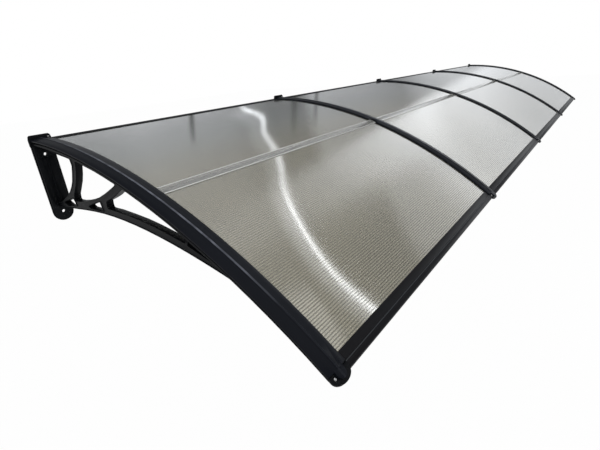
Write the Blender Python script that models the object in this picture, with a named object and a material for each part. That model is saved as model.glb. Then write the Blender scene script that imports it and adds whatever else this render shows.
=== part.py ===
import math

import bmesh
import bpy
from mathutils import Matrix, Vector
from mathutils.geometry import delaunay_2d_cdt

# The canopy stands over a door: X runs along the wall, the wall face is y = 0,
# the roof reaches out to -Y and slopes down, +Z is up. All sizes are metres.
# The origin lies on the wall face, halfway between the two wall screw holes
# of the middle bracket.

# overall
BAY = 1.000
BAYS = 4
REACH = 0.939
DROP = 0.341
ARC_RADIUS = 1.601
SPRING_Z = 0.120
GAP = 0.0003
EMBED = 0.0030
BEND_CLEAR = 0.0040

# twin-wall sheets
SHEET_T = 0.0040
SKIN_T = 0.0005
WEB_T = 0.0006
FACETS = 11
CELLS_PER_FACET = 2
SHEET_EDGE = 0.0065
SHEET_REAR = 0.0085
SHEET_FRONT_IN = 0.0140
SEAM_AT = 0.498

# seam joiner
JOINER_W = 0.028
JOINER_FLANGE = 0.0012
JOINER_WEB = 0.0015
JOINER_UNDER_HALF = 0.0120
JOINER_REACH = 0.0120

# bracket rail under the sheets
LAND_HALF = 0.023
LAND_T = 0.0050
LAND_FRONT_T = 0.0016
LAND_TAPER_BACK = 0.316
RIB_TOP_HALF = 0.0050
TRUSS_HALF = 0.0090
RIB_DROP = 0.0230
RIB_TAPER_BACK = 0.216
RIB_FRONT_DROP = 0.0045
RIB_END_BACK = 0.0150

# bracket stay under the rail
STAY_MEETS_BACK = 0.241
STAY_FOOT_Z = -0.0660
STAY_FOOT_RISE = 0.052
STAY_CROWN_AT = 0.299
STAY_CROWN_Z = -0.0448
STAY_END_FALL = 0.261
STAY_STEPS = 16
DENT_BACK = 0.382
DENT_LENGTH = 0.081
DENT_TOP = 0.0040
DENT_HEIGHT = 0.0130
DENT_D = 0.0055
DENT_CORNER = 0.0020

# bracket wall plate
PLATE_HALF = 0.025
PLATE_T = 0.012
BASE_LIP = 0.0025
BASE_T = 0.004
PLATE_TOP = 0.1120
LUG_T = 0.0060
LUG_TOP = -0.0680
HOLE_SPACING = 0.166
HOLE_R = 0.0045
HOLE_SIDES = 12
LUG_BELOW_HOLE = 0.0260
LUG_SIDES = 12
POCKET_HALF_W = 0.0140
POCKET_H = 0.0230
POCKET_UP = 0.0005
POCKET_D = 0.0020
PLATE_RIB_HALF = 0.0020
PLATE_RIB_T = 0.0025
PLATE_RIB_FOOT = -0.0560
BLOCK_HALF = 0.0285
BLOCK_T = 0.0060
BLOCK_TOP = 0.1352
BLOCK_CORNER = ((0.0, 0.0112), (0.0020, 0.0028), (0.0056, 0.0))

# bracket nose
NOSE_BULGE = 0.0105
NOSE_BACK = 0.0132
NOSE_SIDE_END = 0.0055
NOSE_TOP = 0.0026
NOSE_DEPTH = 0.0028
NOSE_SIDES = 14

# cover strip
COVER_HALF = 0.0250
COVER_SIDE = 0.0034
COVER_EDGE_W = 0.0016
COVER_EDGE_H = 0.0010
COVER_SHOULDER = 0.0062
COVER_SHOULDER_AT = 0.6
COVER_TOP = 0.0072
BEAD_HALF = 0.0020
BEAD_H = 0.0010
BEAD_SLOPE = 0.0008
COVER_WALL = 0.0024
COVER_END_GAP = 0.0010
CHANNEL_TOP = 0.0030
CHANNEL_SLOPE = 0.0006
CHANNEL_IN = 0.0060
TONGUE_HALF = 0.0115
TONGUE_REACH = 0.0035
TONGUE_ROOT = 0.0100
TONGUE_RISE = 0.0004
TONGUE_SIDES = 12
NOTCH_D = 0.0125
NOTCH_CLEAR = 0.0010

# front and rear profiles
FRONT_FLANGE = 0.0318
FRONT_REACH = 0.0025
FRONT_TOP_T = 0.0016
FRONT_LIP = 0.0118
FRONT_LIP_H = 0.0026
FRONT_SKIRT = 0.0120
FRONT_WALL = 0.0018
FRONT_UNDER = 0.0240
FRONT_CLEAR = 0.0008
FRONT_GROOVE_W = 0.0010
FRONT_GROOVE_D = 0.0006
FRONT_GROOVE_IN = 0.0004
FRONT_BEND = 0.0050
FRONT_BEND_DROP = 0.0062
FRONT_INNER = 0.0040
SEAT = 0.0002
PROFILE_T = 0.0015
REAR_START = 0.0045
REAR_FLANGE = 0.0155
REAR_H = 0.0036
REAR_RIM = 0.0030
REAR_SLOPE = 0.0015
REAR_STEP_H = 0.0018
REAR_CLEAR = 0.0005

# screws
SCREW_R = 0.0015
HEAD_R = 0.0031
HEAD_H = 0.0016
SCREW_LEN = 0.0050
SCREW_SIDES = 12
SCREW_X = 0.0205
FRONT_SCREW_X = -0.0165
FRONT_SCREW_BACK = 0.0060

CHORD = math.hypot(REACH, DROP)
HALF_ANGLE = math.asin(CHORD / (2.0 * ARC_RADIUS))
TILT = math.atan2(DROP, REACH)
REAR_ANGLE = HALF_ANGLE - TILT
ARC_LENGTH = 2.0 * ARC_RADIUS * HALF_ANGLE
CENTRE_Y = -ARC_RADIUS * math.sin(REAR_ANGLE)
CENTRE_Z = SPRING_Z - ARC_RADIUS * math.cos(REAR_ANGLE)
SHEET_FRONT = ARC_LENGTH - SHEET_FRONT_IN
LAND_TOP = -SHEET_T - GAP
WALL_HOLE_Z = HOLE_SPACING / 2.0


def on_arc(s, d):
    """Point (y, z) a length s along the roof from the wall, d above the sheets."""
    angle = REAR_ANGLE - s / ARC_RADIUS
    r = ARC_RADIUS + d
    return (CENTRE_Y + r * math.sin(angle), CENTRE_Z + r * math.cos(angle))


def slope_at(s):
    """Rotation about X that turns the level to the roof's slope at s."""
    return s / ARC_RADIUS - REAR_ANGLE


def spread(a, b, n):
    return [a + (b - a) * i / n for i in range(n + 1)]


def stations(start, end):
    """Lengths along the roof where the sheets bend, between start and end."""
    bends = spread(SHEET_REAR, SEAM_AT, FACETS) + spread(SEAM_AT, SHEET_FRONT, FACETS)[1:]
    inner = [s for s in bends if start + BEND_CLEAR < s < end - BEND_CLEAR]
    return [start] + inner + [end]


def make_material(name, colour, roughness, metallic=0.0, transmission=0.0):
    mat = bpy.data.materials.new(name)
    mat.use_nodes = True
    shader = mat.node_tree.nodes["Principled BSDF"]
    shader.inputs["Base Color"].default_value = (colour[0], colour[1], colour[2], 1.0)
    shader.inputs["Roughness"].default_value = roughness
    shader.inputs["Metallic"].default_value = metallic
    shader.inputs["Transmission Weight"].default_value = transmission
    mat.diffuse_color = (colour[0], colour[1], colour[2], 1.0)
    return mat


def mesh_from(bm, name):
    bmesh.ops.recalc_face_normals(bm, faces=bm.faces)
    bmesh.ops.triangulate(bm, faces=bm.faces)
    mesh = bpy.data.meshes.new(name)
    bm.to_mesh(mesh)
    bm.free()
    return mesh


def add_object(name, mesh, material=None, location=(0.0, 0.0, 0.0)):
    obj = bpy.data.objects.new(name, mesh)
    bpy.context.scene.collection.objects.link(obj)
    obj.location = location
    if material is not None:
        mesh.materials.clear()
        mesh.materials.append(material)
    return obj


def inside(point, loops):
    """Whether a point lies in the outline and in none of its holes."""
    crossings = 0
    for loop in loops:
        for (ax, ay), (bx, by) in zip(loop, loop[1:] + loop[:1]):
            if (ay > point.y) != (by > point.y):
                crossings += ax + (point.y - ay) / (by - ay) * (bx - ax) > point.x
    return crossings % 2 == 1


def prism(name, loops, low, high, place):
    """Solid between two heights over an outline; further loops are holes in it.

    place turns (u, v, w) into a point, where w runs from low to high.
    """
    flat = [Vector(p[:2]) for loop in loops for p in loop]
    loops = [[(p[0], p[1]) for p in loop] for loop in loops]
    edges = []
    for loop in loops:
        first = len(edges)
        edges += [(first + i, first + (i + 1) % len(loop)) for i in range(len(loop))]
    points, _, triangles = delaunay_2d_cdt(flat, edges, [], 0, 1e-9, False)[:3]
    bm = bmesh.new()
    bottom = [bm.verts.new(place(p.x, p.y, low)) for p in points]
    top = [bm.verts.new(place(p.x, p.y, high)) for p in points]
    for tri in triangles:
        if inside(sum((points[i] for i in tri), Vector((0.0, 0.0))) / 3.0, loops):
            bm.faces.new([bottom[i] for i in reversed(tri)])
            bm.faces.new([top[i] for i in tri])
    for a, b in edges:
        bm.faces.new((bottom[a], bottom[b], top[b], top[a]))
    return mesh_from(bm, name)


def along_x(u, v, w):
    return Vector((w, u, v))


def along_y(u, v, w):
    return Vector((u, -w, v))


def along_normal_at(s):
    """Place (x, t, d): t runs down the roof from s, d stands square to it."""
    base = on_arc(s, 0.0)
    turn = Matrix.Rotation(slope_at(s), 4, "X")

    def place(u, v, w):
        return Vector((0.0, base[0], base[1])) + turn @ Vector((u, -v, w))

    return place


def sweep(name, section_at, path):
    """Closed section, a list of (x, d) for each s, carried along the roof."""
    bm = bmesh.new()
    rings = []
    for s in path:
        ring = []
        for x, d in section_at(s):
            y, z = on_arc(s, d)
            ring.append(bm.verts.new((x, y, z)))
        rings.append(ring)
    for a, b in zip(rings, rings[1:]):
        for i in range(len(a)):
            j = (i + 1) % len(a)
            bm.faces.new((a[i], a[j], b[j], b[i]))
    bm.faces.new(rings[0])
    bm.faces.new(rings[-1])
    return mesh_from(bm, name)


def lathe(name, profile, sides):
    """Turned piece about Z from (radius, height) points; ends on the axis."""
    bm = bmesh.new()
    rings = []
    for r, h in profile:
        if r < 1e-7:
            rings.append([bm.verts.new((0.0, 0.0, h))])
        else:
            rings.append([bm.verts.new((r * math.cos(2 * math.pi * i / sides),
                                        r * math.sin(2 * math.pi * i / sides), h))
                          for i in range(sides)])
    for a, b in zip(rings, rings[1:]):
        for i in range(sides):
            j = (i + 1) % sides
            if len(a) == 1:
                bm.faces.new((a[0], b[j], b[i]))
            elif len(b) == 1:
                bm.faces.new((a[i], a[j], b[0]))
            else:
                bm.faces.new((a[i], a[j], b[j], b[i]))
    return mesh_from(bm, name)


def combine(name, base, others, operation):
    """Boolean of a mesh with a list of meshes, returned as one new mesh."""
    body = add_object(name + "_body", base)
    tools = bpy.data.collections.new(name + "_tools")
    for other in others:
        tools.objects.link(bpy.data.objects.new(name + "_tool", other))
    bpy.context.scene.collection.children.link(tools)
    mod = body.modifiers.new("join", "BOOLEAN")
    mod.operation = operation
    mod.solver = "EXACT"
    mod.operand_type = "COLLECTION"
    mod.collection = tools
    graph = bpy.context.evaluated_depsgraph_get()
    graph.update()
    mesh = bpy.data.meshes.new_from_object(body.evaluated_get(graph))
    mesh.name = name
    for obj in list(tools.objects) + [body]:
        old = obj.data
        bpy.data.objects.remove(obj)
        bpy.data.meshes.remove(old)
    bpy.data.collections.remove(tools)
    return mesh


def rounded(points, steps=3):
    """Outline from (u, v, r) points; corners with r > 0 become fillets."""
    out = []
    count = len(points)
    for i, (u, v, r) in enumerate(points):
        here = Vector((u, v))
        if r <= 0.0:
            out.append((u, v))
            continue
        before = Vector(points[i - 1][:2]) - here
        after = Vector(points[(i + 1) % count][:2]) - here
        reach = min(r / math.tan(before.angle(after) / 2.0),
                    0.49 * before.length, 0.49 * after.length)
        a = here + before.normalized() * reach
        b = here + after.normalized() * reach
        for k in range(steps + 1):
            t = k / steps
            p = a * (1 - t) * (1 - t) + here * 2 * t * (1 - t) + b * t * t
            out.append((p.x, p.y))
    return out


def rail_low(out):
    """Height of the rail rib's underside at a distance out from the wall."""
    radius = ARC_RADIUS - RIB_DROP
    return CENTRE_Z + math.sqrt(radius ** 2 - (out + CENTRE_Y) ** 2)


def stay_span():
    """Distance out from the wall where the stay runs into the rail."""
    return -on_arc(ARC_LENGTH - STAY_MEETS_BACK, -RIB_DROP)[0]


def ease(t, start, start_slope, end, end_slope):
    """Smooth curve from start to end as t goes from 0 to 1."""
    square, cube = t * t, t * t * t
    return (start * (2 * cube - 3 * square + 1) + start_slope * (cube - 2 * square + t)
            + end * (3 * square - 2 * cube) + end_slope * (cube - square))


def stay_low(out):
    """Underside of the stay: up from the wall to its crown, then down to the rail."""
    if out < STAY_CROWN_AT:
        return ease(out / STAY_CROWN_AT, STAY_FOOT_Z, STAY_FOOT_RISE * STAY_CROWN_AT, STAY_CROWN_Z, 0.0)
    run = stay_span() - STAY_CROWN_AT
    return ease((out - STAY_CROWN_AT) / run, STAY_CROWN_Z, 0.0, rail_low(stay_span()),
                -STAY_END_FALL * run)


def opening(points):
    """Outline of an opening in the bracket's side.

    A point is its share of the way out from the wall plate to the stay's end, its share
    of the height from the stay's underside to the rail's, and the radius of its corner.
    """
    outline = []
    for across, up, radius in points:
        out = PLATE_T + across * (stay_span() - PLATE_T)
        low = stay_low(out)
        outline.append((-out, low + up * (rail_low(out) - low), radius))
    return rounded(outline)


def land_low(s):
    """Underside of the rail's flange, which thins towards the front."""
    share = max(0.0, 1.0 - (ARC_LENGTH - s) / LAND_TAPER_BACK)
    return LAND_TOP - LAND_T + (LAND_T - LAND_FRONT_T) * share


def land_section(s):
    low = land_low(s)
    return [(-LAND_HALF, low), (LAND_HALF, low), (LAND_HALF, LAND_TOP), (RIB_TOP_HALF, LAND_TOP),
            (RIB_TOP_HALF, 0.0), (-RIB_TOP_HALF, 0.0), (-RIB_TOP_HALF, LAND_TOP), (-LAND_HALF, LAND_TOP)]


def truss_loops():
    """Side view of the bracket's stay, struts and rib, with its openings."""
    front_end = ARC_LENGTH - RIB_END_BACK
    top = [on_arc(s, (land_low(s) + LAND_TOP) / 2) for s in stations(PLATE_T / 2, front_end)]
    under = [on_arc(front_end, land_low(front_end) - RIB_FRONT_DROP),
             on_arc(ARC_LENGTH - RIB_TAPER_BACK, -RIB_DROP)]
    stay = [(-out, stay_low(out)) for out in spread(stay_span(), PLATE_T / 2, STAY_STEPS)]

    wall = opening([
        (0.000, 1.000, 0.004), (0.052, 1.000, 0.0), (0.120, 1.000, 0.0), (0.190, 1.000, 0.0),
        (0.226, 1.000, 0.005), (0.228, 0.874, 0.0), (0.212, 0.710, 0.0), (0.193, 0.552, 0.0),
        (0.172, 0.436, 0.0), (0.144, 0.327, 0.0), (0.109, 0.226, 0.0), (0.067, 0.146, 0.0),
        (0.000, 0.051, 0.003)])
    bowl = opening([
        (0.260, 1.000, 0.004), (0.320, 1.000, 0.0), (0.385, 1.000, 0.0), (0.450, 1.000, 0.0),
        (0.505, 1.000, 0.004), (0.468, 0.784, 0.0), (0.422, 0.568, 0.0), (0.370, 0.387, 0.0),
        (0.326, 0.294, 0.0), (0.284, 0.227, 0.0), (0.245, 0.182, 0.0), (0.205, 0.158, 0.0),
        (0.165, 0.156, 0.009), (0.172, 0.274, 0.0), (0.193, 0.386, 0.0), (0.221, 0.549, 0.0),
        (0.240, 0.707, 0.0), (0.257, 0.902, 0.0)])
    front = opening([
        (0.541, 1.000, 0.004), (0.605, 1.000, 0.0), (0.675, 1.000, 0.0), (0.745, 1.000, 0.0),
        (0.807, 1.000, 0.005), (0.816, 0.526, 0.009), (0.731, 0.371, 0.0), (0.673, 0.317, 0.0),
        (0.609, 0.267, 0.0), (0.539, 0.216, 0.0), (0.465, 0.184, 0.0), (0.405, 0.154, 0.008),
        (0.411, 0.341, 0.004), (0.450, 0.473, 0.0), (0.486, 0.637, 0.0)])
    near_wall = opening([
        (0.061, 0.097, 0.0015), (0.089, 0.038, 0.0), (0.169, 0.053, 0.003), (0.154, 0.205, 0.003)])
    under_strut = opening([
        (0.264, 0.095, 0.0015), (0.279, 0.054, 0.0), (0.372, 0.046, 0.003), (0.362, 0.274, 0.003)])
    return [top + under + stay, wall, bowl, front, near_wall, under_strut]


def circle(radius, centre, sides):
    turns = [2 * math.pi * i / sides for i in range(sides)]
    return [(radius * math.cos(a), centre + radius * math.sin(a)) for a in turns]


def wall_plates():
    """Wall plate, its wider foot against the wall and the block behind the cover's end."""
    plates = []
    for lip, thick in ((0.0, PLATE_T), (BASE_LIP, BASE_T)):
        half = PLATE_HALF + lip
        outline = [(half, PLATE_TOP - lip), (-half, PLATE_TOP - lip)]
        for a in spread(math.pi, 2 * math.pi, LUG_SIDES):
            outline.append((half * math.cos(a), (LUG_BELOW_HOLE + lip / 2) * math.sin(a) - WALL_HOLE_Z))
        plates.append(prism("plate", [outline], 0.0, thick, along_y))
    right = [(BLOCK_HALF, PLATE_TOP - 2 * EMBED)]
    right += [(BLOCK_HALF - x, BLOCK_TOP - z) for x, z in BLOCK_CORNER]
    outline = right + [(-x, z) for x, z in reversed(right)]
    plates.append(prism("block", [outline], 0.0, BLOCK_T, along_y))
    return plates


def plate_rib():
    """Upright rib down the middle of the wall plate, from its pocket to the stay's foot."""
    top = WALL_HOLE_Z - POCKET_H / 2
    outline = [(-PLATE_RIB_HALF, top), (PLATE_RIB_HALF, top),
               (PLATE_RIB_HALF, PLATE_RIB_FOOT), (-PLATE_RIB_HALF, PLATE_RIB_FOOT)]
    return prism("rib", [outline], PLATE_T - EMBED, PLATE_T + PLATE_RIB_T, along_y)


def nose():
    """Rounded end of the bracket, in front of the rail."""
    plan = [(-COVER_HALF, -NOSE_BACK), (COVER_HALF, -NOSE_BACK)]
    for a in spread(0.0, math.pi, NOSE_SIDES):
        out = (NOSE_SIDE_END + NOSE_BULGE) * math.sin(a) - NOSE_SIDE_END
        plan.append((COVER_HALF * math.cos(a), out))
    return prism("nose", [plan], -NOSE_DEPTH, NOSE_TOP, along_normal_at(ARC_LENGTH))


def bracket_cutters():
    """Thin lug at the foot of the plate, the pocket, both wall holes and the side dents."""
    wide = 2 * PLATE_HALF
    foot = -WALL_HOLE_Z - 2 * LUG_BELOW_HOLE
    lug = [(-wide, LUG_TOP), (wide, LUG_TOP), (wide, foot), (-wide, foot)]
    cutters = [prism("lug", [lug], LUG_T, PLATE_T + 2 * PLATE_RIB_T, along_y)]
    low = WALL_HOLE_Z + POCKET_UP - POCKET_H / 2
    pocket = [(-POCKET_HALF_W, low), (POCKET_HALF_W, low),
              (POCKET_HALF_W, low + POCKET_H), (-POCKET_HALF_W, low + POCKET_H)]
    cutters.append(prism("pocket", [pocket], PLATE_T - POCKET_D, PLATE_T + EMBED, along_y))
    for z in (WALL_HOLE_Z, -WALL_HOLE_Z):
        cutters.append(prism("hole", [circle(HOLE_R, z, HOLE_SIDES)], -EMBED, PLATE_T + EMBED, along_y))
    dent_at = ARC_LENGTH - DENT_BACK
    dent = [on_arc(dent_at, -RIB_DROP - DENT_TOP) + (DENT_CORNER,),
            on_arc(dent_at + DENT_LENGTH, -RIB_DROP - DENT_TOP) + (0.0,),
            on_arc(dent_at, -RIB_DROP - DENT_TOP - DENT_HEIGHT) + (DENT_CORNER,)]
    for side in (-1, 1):
        cutters.append(prism("dent", [rounded(dent)], side * (TRUSS_HALF - DENT_D),
                             side * (TRUSS_HALF + EMBED), along_x))
    return cutters


def bracket_mesh():
    truss = prism("truss", truss_loops(), -TRUSS_HALF, TRUSS_HALF, along_x)
    rail = sweep("rail", land_section, stations(EMBED, ARC_LENGTH - NOSE_BACK + EMBED))
    whole = combine("bracket", truss, [rail, plate_rib(), nose()] + wall_plates(), "UNION")
    return combine("bracket", whole, bracket_cutters(), "DIFFERENCE")


def screw_mesh():
    profile = [(0.0, HEAD_H), (HEAD_R * 0.55, HEAD_H), (HEAD_R * 0.9, HEAD_H * 0.65), (HEAD_R, 0.0),
               (SCREW_R, 0.0), (SCREW_R, -SCREW_LEN + SCREW_R), (0.0, -SCREW_LEN)]
    return lathe("screw", profile, SCREW_SIDES)


def screw_hole(depth):
    r = SCREW_R + GAP
    return lathe("screw_hole", [(0.0, EMBED), (r, EMBED), (r, -depth), (0.0, -depth)], SCREW_SIDES)


def rear_screw_frame():
    z = SPRING_Z + COVER_SHOULDER
    return Matrix.Translation((SCREW_X, -BLOCK_T - GAP, z)) @ Matrix.Rotation(math.pi / 2, 4, "X")


def front_screw_frame():
    y, z = on_arc(ARC_LENGTH - FRONT_SCREW_BACK, NOSE_TOP + GAP)
    turn = Matrix.Rotation(slope_at(ARC_LENGTH), 4, "X")
    return Matrix.Translation((FRONT_SCREW_X, y, z)) @ turn


def cover_section():
    """Domed strip with its bead, and a channel under each side."""
    side = COVER_HALF
    inner = side - COVER_WALL
    outer = [(side, GAP), (side, COVER_SIDE), (side - COVER_EDGE_W, COVER_SIDE + COVER_EDGE_H),
             (side * COVER_SHOULDER_AT, COVER_SHOULDER), (BEAD_HALF + BEAD_SLOPE, COVER_TOP),
             (BEAD_HALF, COVER_TOP + BEAD_H)]
    channel = [(CHANNEL_IN, GAP), (CHANNEL_IN + CHANNEL_SLOPE, CHANNEL_TOP), (inner, CHANNEL_TOP),
               (inner + CHANNEL_SLOPE, GAP)]
    left = [(-x, d) for x, d in reversed(outer)] + [(-x, d) for x, d in reversed(channel)]
    return outer + left + channel


def cover_mesh(notched):
    section = cover_section()
    start = BLOCK_T + HEAD_H + 3 * GAP
    end = ARC_LENGTH - NOSE_BACK - COVER_END_GAP
    strip = sweep("cover", lambda s: section, stations(start, end))

    root = -NOSE_BACK - TONGUE_ROOT
    middle = TONGUE_REACH - TONGUE_HALF
    plan = [(TONGUE_HALF, root)]
    for a in spread(0.0, math.pi, TONGUE_SIDES):
        plan.append((TONGUE_HALF * math.cos(a), middle + TONGUE_HALF * math.sin(a)))
    plan.append((-TONGUE_HALF, root))
    tongue = prism("tongue", [plan], NOSE_TOP + GAP, COVER_SHOULDER + TONGUE_RISE,
                   along_normal_at(ARC_LENGTH))
    mesh = combine("cover", strip, [tongue], "UNION")
    if notched:
        half_w = JOINER_W / 2 + NOTCH_CLEAR
        edge = -COVER_HALF - EMBED
        deep = NOTCH_D - COVER_HALF
        notch = [(edge, -half_w), (deep, -half_w), (deep, half_w), (edge, half_w)]
        cutter = prism("notch", [notch], -EMBED, COVER_TOP + BEAD_H + EMBED, along_normal_at(SEAM_AT))
        mesh = combine("cover", mesh, [cutter], "DIFFERENCE")
    return mesh


def sheet_mesh(name, start, end):
    """Twin-wall sheet bent to the roof, hollow cells open at both ends."""
    bends = spread(start, end, FACETS)
    outline = [on_arc(s, 0.0) for s in bends] + [on_arc(s, -SHEET_T) for s in reversed(bends)]
    loops = [outline]
    for a, b in zip(bends, bends[1:]):
        top_a, top_b = Vector(on_arc(a, -SKIN_T)), Vector(on_arc(b, -SKIN_T))
        low_a, low_b = Vector(on_arc(a, SKIN_T - SHEET_T)), Vector(on_arc(b, SKIN_T - SHEET_T))
        edge = 0.5 * WEB_T / (b - a)
        for k in range(CELLS_PER_FACET):
            p = k / CELLS_PER_FACET + edge
            q = (k + 1) / CELLS_PER_FACET - edge
            loops.append([tuple(top_a.lerp(top_b, p)), tuple(top_a.lerp(top_b, q)),
                          tuple(low_a.lerp(low_b, q)), tuple(low_a.lerp(low_b, p))])
    return prism(name, loops, SHEET_EDGE, BAY - SHEET_EDGE, along_x)


def bar_along(name, section, s, start, end):
    """Straight bar along the wall from a section of (t, d) points at s on the roof."""
    place = along_normal_at(s)
    return prism(name, [section], start, end, lambda t, d, x: place(x, t, d))


def joiner_mesh():
    half = JOINER_W / 2
    web = JOINER_WEB / 2
    top = GAP + JOINER_FLANGE
    under = -SHEET_T - GAP
    low = under - JOINER_FLANGE
    narrow = JOINER_UNDER_HALF
    section = [(-half, top), (-half, GAP), (-web, GAP), (-web, under), (-narrow, under), (-narrow, low),
               (narrow, low), (narrow, under), (web, under), (web, GAP), (half, GAP), (half, top)]
    end = BAY - COVER_HALF
    bar = bar_along("bar", section, SEAM_AT, COVER_HALF + GAP, end - GAP)
    flange = [(-half, top), (-half, GAP), (half, GAP), (half, top)]
    tail = bar_along("tail", flange, SEAM_AT, end - EMBED, end + JOINER_REACH - GAP)
    return combine("joiner", bar, [tail], "UNION")


def front_profile_mesh():
    back = FRONT_CLEAR - SHEET_FRONT_IN
    groove = -FRONT_LIP - FRONT_GROOVE_IN
    groove_low = FRONT_TOP_T - FRONT_GROOVE_D
    section = [(-FRONT_FLANGE, GAP), (-FRONT_FLANGE, FRONT_TOP_T),
               (groove - FRONT_GROOVE_W - FRONT_GROOVE_D, FRONT_TOP_T),
               (groove - FRONT_GROOVE_W, groove_low), (groove, groove_low), (-FRONT_LIP, FRONT_LIP_H)]
    for a in spread(0.0, math.pi / 2, 3):
        drop = FRONT_BEND_DROP * (1.0 - math.cos(a))
        section.append((FRONT_REACH + FRONT_BEND * (math.sin(a) - 1.0), FRONT_LIP_H - drop))
    inside = FRONT_REACH - FRONT_WALL
    web = back + FRONT_WALL
    low = LAND_TOP - PROFILE_T
    section += [(FRONT_REACH, -FRONT_SKIRT), (inside, -FRONT_SKIRT), (inside, -FRONT_INNER),
                (FRONT_REACH - FRONT_INNER, -SEAT), (web, -SEAT), (web, low), (-FRONT_UNDER, low),
                (-FRONT_UNDER, LAND_TOP), (back, LAND_TOP), (back, GAP)]
    return bar_along("front_profile", section, ARC_LENGTH, COVER_HALF + GAP, BAY - COVER_HALF - GAP)


def rear_profile_mesh():
    start = REAR_START
    end = REAR_START + REAR_FLANGE
    web = SHEET_REAR - GAP - REAR_CLEAR
    low = LAND_TOP - PROFILE_T
    rim = start + REAR_RIM
    section = [(start, REAR_H), (rim, REAR_H), (rim + REAR_SLOPE, REAR_STEP_H), (end, FRONT_TOP_T),
               (end, GAP), (web, GAP), (web, LAND_TOP), (end, LAND_TOP), (end, low), (start, low)]
    return bar_along("rear_profile", section, 0.0, BLOCK_HALF + GAP, BAY - BLOCK_HALF - GAP)


def soften(mesh):
    mesh.shade_smooth()
    mesh.set_sharp_from_angle(angle=math.radians(28))


def build():
    for obj in list(bpy.data.objects):
        bpy.data.objects.remove(obj)
    black = make_material("black_plastic", (0.020, 0.022, 0.026), 0.42)
    strip = make_material("cover_plastic", (0.026, 0.029, 0.036), 0.38)
    sheet = make_material("polycarbonate", (0.62, 0.62, 0.60), 0.12, 0.0, 0.6)
    clear = make_material("clear_joiner", (0.86, 0.87, 0.87), 0.10, 0.0, 0.8)
    metal = make_material("dark_aluminium", (0.060, 0.060, 0.064), 0.45, 0.6)
    steel = make_material("screw_steel", (0.62, 0.62, 0.62), 0.30, 1.0)

    bracket = bracket_mesh()
    rear_frame = rear_screw_frame()
    front_frame = front_screw_frame()
    drills = []
    for frame in (rear_frame, front_frame):
        drill = screw_hole(SCREW_LEN + GAP)
        drill.transform(frame)
        drills.append(drill)
    bracket = combine("bracket", bracket, drills, "DIFFERENCE")
    screw = screw_mesh()
    for mesh in (bracket, screw):
        soften(mesh)
    covers = [cover_mesh(False), cover_mesh(True)]
    for mesh in covers:
        soften(mesh)
    slack = JOINER_WEB / 2 + GAP
    rear_sheet = sheet_mesh("rear_sheet", SHEET_REAR, SEAM_AT - slack)
    front_sheet = sheet_mesh("front_sheet", SEAM_AT + slack, SHEET_FRONT)
    joiner = joiner_mesh()
    front_bar = front_profile_mesh()
    rear_bar = rear_profile_mesh()
    for mesh in (rear_sheet, front_sheet, front_bar, rear_bar):
        soften(mesh)

    for i in range(BAYS + 1):
        x = (i - BAYS / 2) * BAY
        add_object("bracket_%d" % (i + 1), bracket.copy(), black, (x, 0, 0))
        add_object("cover_strip_%d" % (i + 1), covers[1 if i else 0].copy(), strip, (x, 0, 0))
        for label, frame in (("rear", rear_frame), ("front", front_frame)):
            piece = add_object("%s_screw_%d" % (label, i + 1), screw.copy(), steel)
            piece.matrix_world = Matrix.Translation((x, 0, 0)) @ frame
    for i in range(BAYS):
        x = (i - BAYS / 2) * BAY
        add_object("rear_sheet_%d" % (i + 1), rear_sheet.copy(), sheet, (x, 0, 0))
        add_object("front_sheet_%d" % (i + 1), front_sheet.copy(), sheet, (x, 0, 0))
        add_object("seam_joiner_%d" % (i + 1), joiner.copy(), clear, (x, 0, 0))
        add_object("front_profile_%d" % (i + 1), front_bar.copy(), metal, (x, 0, 0))
        add_object("rear_profile_%d" % (i + 1), rear_bar.copy(), metal, (x, 0, 0))


build()
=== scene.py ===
import math
from functools import partial

import bmesh
import bpy
from mathutils import Matrix, Vector


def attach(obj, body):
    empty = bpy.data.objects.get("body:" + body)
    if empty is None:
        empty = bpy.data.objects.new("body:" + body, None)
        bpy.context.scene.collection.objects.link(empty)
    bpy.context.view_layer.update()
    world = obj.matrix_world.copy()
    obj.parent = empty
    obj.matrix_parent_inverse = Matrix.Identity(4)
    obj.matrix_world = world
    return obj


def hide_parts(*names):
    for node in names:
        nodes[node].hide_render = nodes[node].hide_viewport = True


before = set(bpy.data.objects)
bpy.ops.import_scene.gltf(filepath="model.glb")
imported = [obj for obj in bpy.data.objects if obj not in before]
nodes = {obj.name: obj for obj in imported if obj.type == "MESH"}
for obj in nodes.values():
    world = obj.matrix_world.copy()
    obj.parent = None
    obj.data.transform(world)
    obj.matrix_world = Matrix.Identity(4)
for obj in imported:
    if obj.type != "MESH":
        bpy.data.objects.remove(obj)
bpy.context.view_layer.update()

# the roof is part of a circle seen from the side; lengths down it start at its rear edge
roof = {"bay": 1.0, "bays": 4, "reach": 0.939, "drop": 0.341, "arcRadius": 1.601,
        "springHeight": 0.120, "seamAt": 0.498}


def addRoofShape():
    chord = math.hypot(roof["reach"], roof["drop"])
    halfAngle = math.asin(chord / (2 * roof["arcRadius"]))
    roof["rearAngle"] = halfAngle - math.atan2(roof["drop"], roof["reach"])
    roof["length"] = 2 * roof["arcRadius"] * halfAngle
    roof["centreY"] = -roof["arcRadius"] * math.sin(roof["rearAngle"])
    roof["centreZ"] = roof["springHeight"] - roof["arcRadius"] * math.cos(roof["rearAngle"])


addRoofShape()
bracketNumbers = range(1, roof["bays"] + 2)
bayNumbers = range(1, roof["bays"] + 1)


# nodes shared by the materials, the sheets and the world

def feed(tree, socket, value):
    if isinstance(value, bpy.types.NodeSocket):
        tree.links.new(value, socket)
    else:
        socket.default_value = value


def addNode(tree, kind, inputs=None, **settings):
    node = tree.nodes.new(kind)
    for key, value in settings.items():
        setattr(node, key, value)
    for key, value in (inputs or {}).items():
        feed(tree, node.inputs[key], value)
    return node


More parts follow.
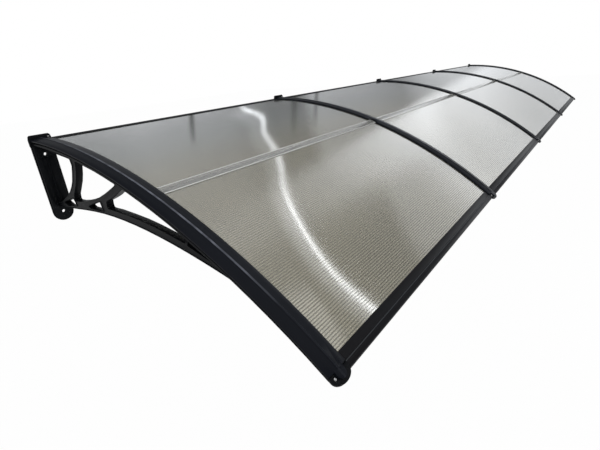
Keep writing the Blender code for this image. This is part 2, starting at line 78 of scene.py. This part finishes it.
def compute(tree, operation, *values):
    inputs = dict(enumerate(values))
    return addNode(tree, "ShaderNodeMath", inputs, operation=operation).outputs[0]


def mixValues(tree, factor, low, high):
    return addNode(tree, "ShaderNodeMix", {0: factor, 2: low, 3: high}).outputs[0]


def mixColours(tree, factor, low, high):
    # sockets 6 and 7 of the mix node are its two colours, and output 2 is the mixed one
    low, high = (value if isinstance(value, bpy.types.NodeSocket) else (*value, 1)
                 for value in (low, high))
    return addNode(tree, "ShaderNodeMix", {0: factor, 6: low, 7: high},
                   data_type="RGBA").outputs[2]


def mapBetween(tree, value, start, end, low=0.0, high=1.0, kind="LINEAR"):
    inputs = {"Value": value, "From Min": start, "From Max": end, "To Min": low, "To Max": high}
    return addNode(tree, "ShaderNodeMapRange", inputs, interpolation_type=kind).outputs["Result"]


def easeBetween(tree, value, start, end, low=0.0, high=1.0):
    return mapBetween(tree, value, start, end, low, high, "SMOOTHSTEP")


def rampOf(tree, value, stops, kind="LINEAR"):
    node = addNode(tree, "ShaderNodeValToRGB", {0: value})
    node.color_ramp.interpolation = kind
    elements = node.color_ramp.elements
    for number, (spot, colour) in enumerate(stops):
        stop = elements[number] if number < 2 else elements.new(spot)
        stop.position = spot
        stop.color = (*colour, 1)
    return node.outputs[0]


def objectPlace(tree):
    return addNode(tree, "ShaderNodeTexCoord").outputs["Object"]


def noise(tree, place, scale, detail=2.0):
    inputs = {"Vector": place, "Scale": scale, "Detail": detail}
    return addNode(tree, "ShaderNodeTexNoise", inputs).outputs["Fac"]


def stretchedNoise(tree, place, stretch):
    long = addNode(tree, "ShaderNodeMapping", {"Vector": place, "Scale": stretch}).outputs[0]
    return noise(tree, long, 1.0)


def roofDistance(tree, place):
    # how far down the roof a point lies, measured from its rear edge
    calc = partial(compute, tree)
    parts = addNode(tree, "ShaderNodeSeparateXYZ", {0: place}).outputs
    out = calc("SUBTRACT", parts[1], roof["centreY"])
    up = calc("SUBTRACT", parts[2], roof["centreZ"])
    radius = roof["arcRadius"]
    return calc("MULTIPLY_ADD", calc("ARCTAN2", out, up), -radius, roof["rearAngle"] * radius)


# materials

shaderSockets = {"roughness": "Roughness", "metallic": "Metallic", "shine": "Specular IOR Level",
                 "ior": "IOR", "clearness": "Transmission Weight", "gloss": "Coat Weight",
                 "glossIor": "Coat IOR", "glossRoughness": "Coat Roughness"}


def newMaterial(name, settings):
    mat = bpy.data.materials.new(name)
    mat.use_nodes = True
    shader = mat.node_tree.nodes["Principled BSDF"]
    shader.inputs["Base Color"].default_value = (*settings["colour"], 1)
    for key, socket in shaderSockets.items():
        if key in settings:
            shader.inputs[socket].default_value = settings[key]
    mat.diffuse_color = (*settings["colour"], 1)
    return mat, shader


def varyRoughness(tree, shader, pattern, settings):
    smoother, rougher = settings["wear"]
    wear = mapBetween(tree, pattern, 0.0, 1.0, settings["roughness"] - smoother,
                      settings["roughness"] + rougher)
    tree.links.new(wear, shader.inputs["Roughness"])


def addBump(tree, shader, height, settings):
    bump = addNode(tree, "ShaderNodeBump", {"Strength": settings["bump"], "Height": height,
                                           "Distance": settings["bumpDepth"]})
    tree.links.new(bump.outputs["Normal"], shader.inputs["Normal"])


# black moulded plastic of the brackets, and the slightly bluer one of the cover strips
plastic = {"colour": (0.004, 0.0045, 0.0055), "paler": (0.008, 0.009, 0.011),
           "roughness": 0.38, "wear": (0.06, 0.08), "shine": 0.07, "cloud": 9.0,
           "grain": 900.0, "bump": 0.25, "bumpDepth": 0.0002}
# streakRange, and the start and end of the painted highlight on the bead: from, to, and the
# share of the highlight at each end
coverPlastic = {"colour": (0.005, 0.006, 0.009), "paler": (0.009, 0.0105, 0.015),
                "roughness": 0.34, "wear": (0.06, 0.08), "shine": 0.08, "cloud": 9.0,
                "grain": 1100.0, "bump": 0.2, "bumpDepth": 0.0002,
                "beadHighlightColour": (0.14, 0.15, 0.18), "beadHighlightHalf": 0.0022, "streaks": 40.0,
                "streakRange": (0.25, 0.75, 0.35),
                "beadHighlightStart": (0.05, 0.45, 0.25), "beadHighlightEnd": (0.70, 0.90, 1.0, 0.05)}


def plasticMaterial(name, settings):
    mat, shader = newMaterial(name, settings)
    tree = mat.node_tree
    place = objectPlace(tree)
    cloud = noise(tree, place, settings["cloud"], 3.0)
    colour = mixColours(tree, cloud, settings["colour"], settings["paler"])
    # the cover strips get a painted highlight along their bead
    if "beadHighlightColour" in settings:
        share = paintedBeadHighlight(tree, place, settings)
        colour = mixColours(tree, share, colour, settings["beadHighlightColour"])
    tree.links.new(colour, shader.inputs["Base Color"])
    varyRoughness(tree, shader, cloud, settings)
    addBump(tree, shader, noise(tree, place, settings["grain"]), settings)
    return mat


def paintedBeadHighlight(tree, place, settings):
    # a painted highlight: the bead down the middle of each strip is painted pale, most of all
    # half way down
    calc, ease = partial(compute, tree), partial(easeBetween, tree)
    halfBay = roof["bay"] / 2
    x = addNode(tree, "ShaderNodeSeparateXYZ", {0: place}).outputs[0]
    fromBead = calc("WRAP", x, -halfBay, halfBay)
    share = calc("COMPARE", fromBead, 0.0, settings["beadHighlightHalf"])
    streaks = noise(tree, place, settings["streaks"], 3.0)
    down = roofDistance(tree, place)
    for amount in (ease(streaks, *settings["streakRange"]), ease(down, *settings["beadHighlightStart"]),
                   ease(down, *settings["beadHighlightEnd"])):
        share = calc("MULTIPLY", share, amount)
    return share


# clear plastic of the seam joiners, with a painted highlight along its edges; the pairs are
# distances from the middle of the strip
clearStrip = {"colour": (0.72, 0.72, 0.69), "paler": (0.84, 0.84, 0.82), "roughness": 0.10,
              "ior": 1.58, "clearness": 0.80, "grain": (2.0, 300.0, 300.0), "bump": 0.15,
              "bumpDepth": 0.0003, "edgeHighlight": (0.80, 0.81, 0.80), "edgeHighlightHaze": 0.60,
              "edgeHighlightFrom": (0.0105, 0.0125), "web": (0.30, 0.30, 0.29), "webShade": 0.32,
              "webEdge": (0.0008, 0.0022)}


def joinerMaterial(settings):
    # paler and less clear along both edges as a painted highlight, clear between them, with a
    # dark line where the web stands
    mat, shader = newMaterial("joinerPlastic", settings)
    tree = mat.node_tree
    calc, ease = partial(compute, tree), partial(easeBetween, tree)
    place = objectPlace(tree)
    lines = stretchedNoise(tree, place, settings["grain"])
    colour = mixColours(tree, lines, settings["colour"], settings["paler"])
    away = calc("ABSOLUTE", calc("SUBTRACT", roofDistance(tree, place), roof["seamAt"]))
    # painted highlight: paler and less clear towards both edges
    edgeHighlight = ease(away, *settings["edgeHighlightFrom"])
    colour = mixColours(tree, edgeHighlight, colour, settings["edgeHighlight"])
    dark = ease(away, *settings["webEdge"], settings["webShade"], 0.0)
    colour = mixColours(tree, dark, colour, settings["web"])
    clear = calc("MULTIPLY_ADD", edgeHighlight, -settings["edgeHighlightHaze"], settings["clearness"])
    tree.links.new(clear, shader.inputs["Transmission Weight"])
    tree.links.new(colour, shader.inputs["Base Color"])
    addBump(tree, shader, lines, settings)
    return mat


# clear sheets, cooler at the rear and warmer to the front; warmFrom, leanGrows and lineGrows
# are lengths down the roof, webLean and lineDepth the values before and after them
polycarbonate = {"colour": (0.560, 0.538, 0.462), "paler": (0.750, 0.720, 0.612),
                 "rearColour": (0.532, 0.545, 0.525), "rearPaler": (0.71, 0.73, 0.70),
                 "warmFrom": (0.25, 0.50), "cloudScale": (2.5, 0.02, 1.0), "roughness": 0.07,
                 "ior": 1.75, "clearness": 0.85, "gloss": 1.0, "glossIor": 1.8,
                 "glossRoughness": 0.05, "leanGrows": (0.40, 0.80), "webLean": (0.03, 0.20),
                 "lineColour": (0.05, 0.05, 0.045), "lineFrom": 0.30,
                 "lineGrows": (0.62, 0.95), "lineDepth": (0.10, 0.42), "lineDullness": 1.6}


def sheetMaterial(settings):
    mat, shader = newMaterial("twinWall", settings)
    tree = mat.node_tree
    calc, ease = partial(compute, tree), partial(easeBetween, tree)
    vector = partial(addNode, tree, "ShaderNodeVectorMath")
    uv = addNode(tree, "ShaderNodeUVMap", uv_map="UVMap").outputs["UV"]
    down = roofDistance(tree, objectPlace(tree))
    # the gloss leans from -1 to 1 across each cell, as the skins pucker at the webs
    cell = addNode(tree, "ShaderNodeSeparateXYZ", {0: uv}).outputs[1]
    lean = calc("MULTIPLY_ADD", calc("FRACT", cell), 2.0, -1.0)
    steepness = ease(down, *settings["leanGrows"], *settings["webLean"])
    normal = addNode(tree, "ShaderNodeNewGeometry").outputs["Normal"]
    downSlope = vector({0: (1, 0, 0), 1: normal}, operation="CROSS_PRODUCT").outputs[0]
    push = vector({0: downSlope, "Scale": calc("MULTIPLY", lean, steepness)}, operation="SCALE")
    pushed = vector({0: normal, 1: push.outputs[0]}, operation="ADD").outputs[0]
    leaning = vector({0: pushed}, operation="NORMALIZE").outputs[0]
    tree.links.new(leaning, shader.inputs["Coat Normal"])
    # soft clouds along the flutes
    cloud = stretchedNoise(tree, uv, settings["cloudScale"])
    cool = mixColours(tree, cloud, settings["rearColour"], settings["rearPaler"])
    warm = mixColours(tree, cloud, settings["colour"], settings["paler"])
    colour = mixColours(tree, ease(down, *settings["warmFrom"]), cool, warm)
    # painted shade: a dark line with less gloss over each web, deeper towards the front
    line = ease(calc("ABSOLUTE", lean), settings["lineFrom"], 1.0)
    depth = ease(down, *settings["lineGrows"], *settings["lineDepth"])
    line = calc("MULTIPLY", line, depth)
    colour = mixColours(tree, line, colour, settings["lineColour"])
    tree.links.new(colour, shader.inputs["Base Color"])
    shine = calc("MULTIPLY_ADD", line, -settings["lineDullness"], settings["gloss"])
    tree.links.new(shine, shader.inputs["Coat Weight"])
    return mat


# dark profiles with a painted highlight line along the front one's groove, and plain screws
anodised = {"colour": (0.008, 0.008, 0.010), "paler": (0.014, 0.014, 0.016),
            "roughness": 0.40, "wear": (0.08, 0.10), "metallic": 0.3, "shine": 0.12,
            "grain": (1.5, 900.0, 900.0), "lineAt": 0.0121, "lineHalf": 0.0008,
            "lineColour": (0.055, 0.06, 0.065)}
steel = {"colour": (0.62, 0.62, 0.62), "roughness": 0.30, "wear": (0.08, 0.10),
         "metallic": 1.0, "grain": (1.5, 900.0, 900.0)}


def metalMaterial(name, settings):
    mat, shader = newMaterial(name, settings)
    tree = mat.node_tree
    place = objectPlace(tree)
    lines = stretchedNoise(tree, place, settings["grain"])
    varyRoughness(tree, shader, lines, settings)
    # a painted highlight line along the groove of the front profile
    if "lineAt" in settings:
        groove = roof["length"] - settings["lineAt"]
        share = compute(tree, "COMPARE", roofDistance(tree, place), groove, settings["lineHalf"])
        dull = mixColours(tree, lines, settings["colour"], settings["paler"])
        bright = mixColours(tree, share, dull, settings["lineColour"])
        tree.links.new(bright, shader.inputs["Base Color"])
    return mat


bracketLook = plasticMaterial("bracketPlastic", plastic)
coverLook = plasticMaterial("coverStripPlastic", coverPlastic)
sheetLook = sheetMaterial(polycarbonate)
joinerLook = joinerMaterial(clearStrip)
profileLook = metalMaterial("anodisedAluminium", anodised)
screwLook = metalMaterial("screwSteel", steel)
print("materials ready")


# pieces

def addObject(name, data):
    obj = bpy.data.objects.new(name, data)
    bpy.context.scene.collection.objects.link(obj)
    return obj


def plainMesh(obj, name):
    graph = bpy.context.evaluated_depsgraph_get()
    graph.update()
    mesh = bpy.data.meshes.new_from_object(obj.evaluated_get(graph))
    mesh.name = name
    bpy.data.objects.remove(obj)
    return mesh


def finishPiece(name, mesh, material, node):
    mesh.materials.clear()
    mesh.materials.append(material)
    obj = addObject(name, mesh)
    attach(obj, "root")
    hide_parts(node)


# twin-wall sheets: webs between two thin skins that sag a little from web to web
sheet = {"thickness": 0.0040, "skin": 0.00035, "pitch": 0.00565, "sag": 0.00005,
         "stepsPerCell": 8, "edge": 0.0065, "rear": 0.0085, "frontIn": 0.0140,
         "seamHalf": 0.00105, "sharp": 30.0}


def sheetTree():
    tree = bpy.data.node_groups.new("twinWallSheet", "GeometryNodeTree")
    for name in ("start", "end", "left", "right", "thickness", "skin", "sag",
                 "arcRadius", "rearAngle", "centreY", "centreZ"):
        tree.interface.new_socket(name, in_out="INPUT", socket_type="NodeSocketFloat")
    for name in ("cells", "stepsPerCell"):
        tree.interface.new_socket(name, in_out="INPUT", socket_type="NodeSocketInt")
    tree.interface.new_socket("Material", in_out="INPUT", socket_type="NodeSocketMaterial")
    tree.interface.new_socket("Geometry", in_out="OUTPUT", socket_type="NodeSocketGeometry")
    given = addNode(tree, "NodeGroupInput").outputs
    calc, add = partial(compute, tree), partial(addNode, tree)

    width = calc("SUBTRACT", given["right"], given["left"])
    length = calc("SUBTRACT", given["end"], given["start"])
    middleX = calc("MULTIPLY", calc("ADD", given["right"], given["left"]), 0.5)
    middleDown = calc("MULTIPLY", calc("ADD", given["end"], given["start"]), 0.5)

    def angleAt(down):
        return calc("SUBTRACT", given["rearAngle"], calc("DIVIDE", down, given["arcRadius"]))

    def arcPlace(x, down, above):
        angle = angleAt(down)
        radius = calc("ADD", given["arcRadius"], above)
        y = calc("MULTIPLY_ADD", radius, calc("SINE", angle), given["centreY"])
        z = calc("MULTIPLY_ADD", radius, calc("COSINE", angle), given["centreZ"])
        return add("ShaderNodeCombineXYZ", {"X": x, "Y": y, "Z": z}).outputs[0]

    def skinSurface(above, sagWay):
        rows = calc("MULTIPLY_ADD", given["cells"], given["stepsPerCell"], 1.0)
        grid = add("GeometryNodeMeshGrid", {"Size X": width, "Size Y": length,
                                            "Vertices X": 2, "Vertices Y": rows})
        position = add("GeometryNodeInputPosition").outputs[0]
        here = add("ShaderNodeSeparateXYZ", {0: position}).outputs
        x = calc("ADD", here[0], middleX)
        down = calc("ADD", here[1], middleDown)
        share = calc("DIVIDE", calc("SUBTRACT", down, given["start"]), length)
        cell = calc("MULTIPLY", share, given["cells"])
        wave = calc("COSINE", calc("MULTIPLY", cell, 2 * math.pi))
        hollow = calc("SUBTRACT", 0.5, calc("MULTIPLY", wave, 0.5))
        sagging = calc("MULTIPLY", calc("MULTIPLY", given["sag"], sagWay), hollow)
        uv = add("ShaderNodeCombineXYZ", {"X": x, "Y": cell}).outputs[0]
        mapped = add("GeometryNodeStoreNamedAttribute",
                     {"Geometry": grid.outputs["Mesh"], "Name": "UVMap", "Value": uv},
                     data_type="FLOAT2", domain="CORNER").outputs[0]
        spot = arcPlace(x, down, calc("ADD", above, sagging))
        return add("GeometryNodeSetPosition", {"Geometry": mapped, "Position": spot}).outputs[0]

    halfSkin = calc("MULTIPLY", given["skin"], 0.5)
    top = skinSurface(calc("MULTIPLY", halfSkin, -1.0), -1.0)
    bottom = skinSurface(calc("SUBTRACT", halfSkin, given["thickness"]), 1.0)

    # one upright web at each end of every cell
    points = add("GeometryNodeMeshLine", {"Count": calc("ADD", given["cells"], 1.0)})
    cell = add("GeometryNodeInputIndex").outputs[0]
    down = calc("MULTIPLY_ADD", calc("DIVIDE", cell, given["cells"]), length, given["start"])
    spot = arcPlace(middleX, down, calc("MULTIPLY", given["thickness"], -0.5))
    points = add("GeometryNodeSetPosition", {"Geometry": points.outputs[0], "Position": spot})
    height = calc("SUBTRACT", given["thickness"], given["skin"])
    web = add("GeometryNodeMeshGrid", {"Size X": width, "Size Y": height,
                                       "Vertices X": 2, "Vertices Y": 2})
    turn = add("ShaderNodeCombineXYZ", {"X": calc("SUBTRACT", math.pi / 2, angleAt(down))})
    webs = add("GeometryNodeInstanceOnPoints", {"Points": points.outputs[0],
                                                "Instance": web.outputs["Mesh"],
                                                "Rotation": turn.outputs[0]})
    joined = add("GeometryNodeJoinGeometry")
    for part in (webs.outputs[0], bottom, top):
        tree.links.new(part, joined.inputs[0])
    real = add("GeometryNodeRealizeInstances", {0: joined.outputs[0]})
    smooth = add("GeometryNodeSetShadeSmooth", {"Geometry": real.outputs[0],
                                                "Shade Smooth": True})
    dressed = add("GeometryNodeSetMaterial", {"Geometry": smooth.outputs[0],
                                              "Material": given["Material"]})
    tree.links.new(dressed.outputs[0], add("NodeGroupOutput").inputs[0])
    return tree


sheetBuilder = sheetTree()


def makeSheet(name, node, left, start, end):
    values = {**roof, **sheet, "start": start, "end": end, "left": left + sheet["edge"],
              "right": left + roof["bay"] - sheet["edge"],
              "cells": round((end - start) / sheet["pitch"]), "Material": sheetLook}
    obj = addObject(name, bpy.data.meshes.new(name))
    grow = obj.modifiers.new("grow", "NODES")
    grow.node_group = sheetBuilder
    for item in sheetBuilder.interface.items_tree:
        if item.in_out == "INPUT":
            grow[item.identifier] = values[item.name]
    wall = obj.modifiers.new("wall", "SOLIDIFY")
    wall.thickness = sheet["skin"]
    wall.offset = 0.0
    mesh = plainMesh(obj, name)
    mesh.set_sharp_from_angle(angle=math.radians(sheet["sharp"]))
    finishPiece(name, mesh, sheetLook, node)


for number in bayNumbers:
    left = (number - 1 - roof["bays"] / 2) * roof["bay"]
    makeSheet("rearPanel%d" % number, "rear_sheet_%d" % number, left,
              sheet["rear"], roof["seamAt"] - sheet["seamHalf"])
    makeSheet("frontPanel%d" % number, "front_sheet_%d" % number, left,
              roof["seamAt"] + sheet["seamHalf"], roof["length"] - sheet["frontIn"])
print("sheets made")


# all other pieces: merged copies of the solids with their edges rounded
copying = {"weld": 0.000005, "flatDegrees": 0.5, "segments": 2}
bracketShape = {"edge": 0.0005, "sharp": 24.0, "halfWidth": 0.009, "rim": 0.0022,
                "recess": 0.0020, "facing": 0.999, "near": 0.0001}
coverShape = {"edge": 0.0003, "sharp": 24.0}
joinerShape = {"edge": 0.0002, "sharp": 24.0}
profileShape = {"edge": 0.00025, "sharp": 24.0}
screwShape = {"edge": 0.0002, "sharp": 40.0}


def makeRounded(name, node, shape, material):
    bm = bmesh.new()
    bm.from_mesh(nodes[node].data)
    bmesh.ops.remove_doubles(bm, verts=bm.verts, dist=copying["weld"])
    bmesh.ops.dissolve_limit(bm, angle_limit=math.radians(copying["flatDegrees"]),
                             verts=bm.verts, edges=bm.edges)
    if "recess" in shape:
        recessSides(bm, shape)
    mesh = bpy.data.meshes.new(name)
    bm.to_mesh(mesh)
    bm.free()
    mesh.shade_smooth()
    obj = addObject(name, mesh)
    bevel = obj.modifiers.new("edges", "BEVEL")
    bevel.width = shape["edge"]
    bevel.segments = copying["segments"]
    bevel.limit_method = "ANGLE"
    bevel.angle_limit = math.radians(shape["sharp"])
    bevel.harden_normals = True
    finishPiece(name, plainMesh(obj, name), material, node)


def recessSides(bm, shape):
    # the sides of the stay and struts sink in a little and leave a rim
    across = [v.co.x for v in bm.verts]
    middle = (min(across) + max(across)) / 2

    def onSide(face):
        away = abs(face.calc_center_median().x - middle) - shape["halfWidth"]
        return abs(face.normal.x) > shape["facing"] and abs(away) < shape["near"]

    sides = [face for face in bm.faces if onSide(face)]
    bmesh.ops.inset_region(bm, faces=sides, thickness=shape["rim"], depth=-shape["recess"],
                           use_boundary=True, use_even_offset=True)


for number in bracketNumbers:
    makeRounded("wallBracket%d" % number, "bracket_%d" % number, bracketShape, bracketLook)
    makeRounded("coverStrip%d" % number, "cover_strip_%d" % number, coverShape, coverLook)
print("brackets and covers made")

for number in bayNumbers:
    makeRounded("seamJoiner%d" % number, "seam_joiner_%d" % number, joinerShape, joinerLook)
    for end in ("front", "rear"):
        makeRounded("%sProfile%d" % (end, number), "%s_profile_%d" % (end, number),
                    profileShape, profileLook)
for number in bracketNumbers:
    for end in ("front", "rear"):
        makeRounded("%sScrew%d" % (end, number), "%s_screw_%d" % (end, number),
                    screwShape, screwLook)
print("joiners, profiles and screws made")


# stage

camera = {"place": (-2.4047, -1.2078, 0.2465), "yaw": 0.8876, "pitch": -0.3875,
          "roll": -0.0866, "focalPixels": 386.29, "imageWidth": 600, "sensor": 36.0,
          "nearest": 0.01}


def setCamera():
    yaw, pitch, roll = camera["yaw"], camera["pitch"], camera["roll"]
    ahead = Vector((math.sin(yaw) * math.cos(pitch), math.cos(yaw) * math.cos(pitch),
                    math.sin(pitch)))
    right = ahead.cross(Vector((0, 0, 1))).normalized()
    up = right.cross(ahead)
    turned = right * math.cos(roll) + up * math.sin(roll)
    upright = up * math.cos(roll) - right * math.sin(roll)
    view = Matrix((turned, upright, -ahead)).transposed().to_4x4()
    view.translation = camera["place"]
    data = bpy.data.cameras.new("camera")
    data.sensor_width = camera["sensor"]
    data.lens = camera["focalPixels"] / camera["imageWidth"] * camera["sensor"]
    data.clip_start = camera["nearest"]
    obj = addObject("camera", data)
    obj.matrix_world = view
    bpy.context.scene.camera = obj


# what the gloss sees: x is how far right a direction points and y how far back, -1 to 1
surroundings = {
    "soft": 0.75, "tint": (0.975, 1.0, 1.03), "backFrom": (0.185, 0.255), "brightest": 2.0,
    # brightness from left to right, in front of backFrom and behind it
    "openSide": ((0.20, 0.60), (0.50, 0.64), (0.70, 0.60), (0.80, 0.85), (0.86, 1.15),
                 (0.93, 1.50), (0.948, 1.10), (0.967, 1.05), (0.985, 0.74), (1.00, 0.70)),
    "backSide": ((0.20, 0.20), (0.50, 0.52), (0.66, 0.38), (0.74, 0.17), (0.79, 0.17),
                 (0.81, 0.45), (0.84, 0.42), (0.88, 0.37), (0.915, 0.28), (0.935, 0.50),
                 (0.955, 0.62), (0.97, 0.48), (1.00, 0.48)),
    # soft dark patches in front: edges in x and in y, and how x slants with y
    "patches": ({"depth": 0.70, "x": (0.876, 0.858), "y": (0.06, -0.14), "slant": -0.09},
                {"depth": 0.45, "x": (0.95, 0.89), "y": (0.05, -0.07), "slant": 0.0}),
    # dim upright bars behind: x, half width, depth, y where it begins
    "bars": ((0.740, 0.009, 0.65, 0.38), (0.776, 0.006, 0.60, 0.38),
             (0.546, 0.009, 0.80, 0.60)),
    "barSlant": -0.07, "barFade": 0.10}

# a narrow band of light from front to back: y, x, half width, strength
lightBand = {
    "stops": ((-0.45, 0.7280, 0.0085, 5.0), (-0.32, 0.7210, 0.0075, 5.0),
              (-0.20, 0.7184, 0.0050, 6.0), (-0.05, 0.7186, 0.0042, 6.5),
              (0.10, 0.7195, 0.0046, 5.0), (0.20, 0.7225, 0.0062, 2.8),
              (0.30, 0.7315, 0.0078, 1.9), (0.38, 0.7325, 0.0080, 1.5),
              (0.46, 0.7262, 0.0070, 1.3), (0.52, 0.7215, 0.0070, 1.15),
              (0.57, 0.7250, 0.0070, 1.1), (0.61, 0.7215, 0.0070, 1.1),
              (0.64, 0.7125, 0.0065, 1.1), (0.67, 0.7015, 0.0065, 1.1),
              (0.72, 0.6900, 0.0060, 0.0)),
    # the ramp holds shares of these ranges
    "front": -0.5, "back": 0.8, "left": 0.68, "width": 0.07, "widest": 0.012,
    "strongest": 8.0, "core": 0.3, "glowLeft": 0.012, "glowHalf": 0.028, "glow": 0.17}


def sideLight(tree, x, stops):
    brightest = surroundings["brightest"]
    ramp = rampOf(tree, x, [(spot, (value / brightest,) * 3) for spot, value in stops])
    return compute(tree, "MULTIPLY", ramp, brightest)


def bandLight(tree, x, y, z):
    band = lightBand
    calc, ease = partial(compute, tree), partial(easeBetween, tree)
    run = band["back"] - band["front"]
    stops = [((back - band["front"]) / run,
              ((place - band["left"]) / band["width"], half / band["widest"],
               strength / band["strongest"])) for back, place, half, strength in band["stops"]]
    ramp = rampOf(tree, mapBetween(tree, y, band["front"], band["back"]), stops, "CARDINAL")
    shares = addNode(tree, "ShaderNodeSeparateColor", {0: ramp}).outputs
    middle = calc("MULTIPLY_ADD", shares[0], band["width"], band["left"])
    away = calc("SUBTRACT", x, middle)
    half = calc("MULTIPLY", shares[1], band["widest"])
    light = ease(calc("DIVIDE", calc("ABSOLUTE", away), half), 1.0, band["core"])
    # its soft glow, mostly on the left
    fromGlow = calc("ABSOLUTE", calc("ADD", away, band["glowLeft"]))
    light = calc("ADD", light, ease(fromGlow, band["glowHalf"], 0.0, 0.0, band["glow"]))
    above = calc("GREATER_THAN", z, 0.0)
    for amount in (above, shares[2], band["strongest"]):
        light = calc("MULTIPLY", light, amount)
    return light


def glossLight(tree, x, y, z):
    calc, ease = partial(compute, tree), partial(easeBetween, tree)
    gloss = mixValues(tree, ease(y, *surroundings["backFrom"]),
                      sideLight(tree, x, surroundings["openSide"]),
                      sideLight(tree, x, surroundings["backSide"]))
    for patch in surroundings["patches"]:
        inside = ease(calc("MULTIPLY_ADD", y, patch["slant"], x), *patch["x"])
        reach = ease(y, *patch["y"], 0.0, -patch["depth"])
        gloss = calc("MULTIPLY", gloss, calc("MULTIPLY_ADD", inside, reach, 1.0))
    slanted = calc("MULTIPLY_ADD", y, surroundings["barSlant"], x)
    for place, half, depth, start in surroundings["bars"]:
        begun = ease(y, start, start + surroundings["barFade"])
        away = calc("ABSOLUTE", calc("SUBTRACT", slanted, place))
        bar = ease(away, half, 0.0, 0.0, -depth)
        gloss = calc("MULTIPLY", gloss, calc("MULTIPLY_ADD", bar, begun, 1.0))
    return calc("ADD", gloss, bandLight(tree, x, y, z))


def setWorld():
    world = bpy.data.worlds.new("studio")
    world.use_nodes = True
    tree = world.node_tree
    tree.nodes.clear()
    path = addNode(tree, "ShaderNodeLightPath").outputs
    way = addNode(tree, "ShaderNodeTexCoord").outputs["Generated"]
    x, y, z = addNode(tree, "ShaderNodeSeparateXYZ", {0: way}).outputs
    # white to the camera and through clear pieces, soft light elsewhere
    seen = compute(tree, "MAXIMUM", path["Is Camera Ray"], path["Is Transmission Ray"])
    light = mixValues(tree, path["Is Glossy Ray"], surroundings["soft"],
                      glossLight(tree, x, y, z))
    strength = mixValues(tree, seen, light, 1.0)
    tint = mixColours(tree, path["Is Glossy Ray"], (1.0, 1.0, 1.0), surroundings["tint"])
    sky = addNode(tree, "ShaderNodeBackground", {"Color": tint, "Strength": strength})
    tree.links.new(sky.outputs[0], addNode(tree, "ShaderNodeOutputWorld").inputs[0])
    bpy.context.scene.world = world


softBox = {"place": (-1.0, -3.0, 3.5), "target": (0.0, -0.4, 0.0), "size": (7.0, 4.5),
           "watts": 60.0}


def addLamp(name, settings):
    data = bpy.data.lights.new(name, "AREA")
    data.shape = "RECTANGLE"
    data.size, data.size_y = settings["size"]
    data.energy = settings["watts"]
    obj = addObject(name, data)
    obj.location = settings["place"]
    ahead = Vector(settings["target"]) - Vector(settings["place"])
    obj.rotation_euler = ahead.to_track_quat("-Z", "Y").to_euler()


# the floor keeps the object's shadow and is nearly white to the camera
floor = {"colour": (0.92, 0.92, 0.92), "roughness": 0.9, "white": 0.97, "half": 40.0,
         "height": -2.3}


def addFloor():
    mat, shader = newMaterial("paleFloor", floor)
    tree = mat.node_tree
    seen = addNode(tree, "ShaderNodeLightPath").outputs["Is Camera Ray"]
    white = addNode(tree, "ShaderNodeEmission", {"Color": (1, 1, 1, 1), "Strength": 1.0})
    mix = addNode(tree, "ShaderNodeMixShader",
                  {0: compute(tree, "MULTIPLY", seen, floor["white"]), 1: shader.outputs[0],
                   2: white.outputs[0]})
    tree.links.new(mix.outputs[0], tree.nodes["Material Output"].inputs[0])
    half, height = floor["half"], floor["height"]
    mesh = bpy.data.meshes.new("floor")
    mesh.from_pydata([(-half, -half, height), (half, -half, height), (half, half, height),
                      (-half, half, height)], [], [(0, 1, 2, 3)])
    mesh.materials.append(mat)
    obj = addObject("floor", mesh)


setCamera()
setWorld()
addFloor()
addLamp("softBox", softBox)
bpy.context.scene.view_settings.view_transform = "Standard"
print("stage set")
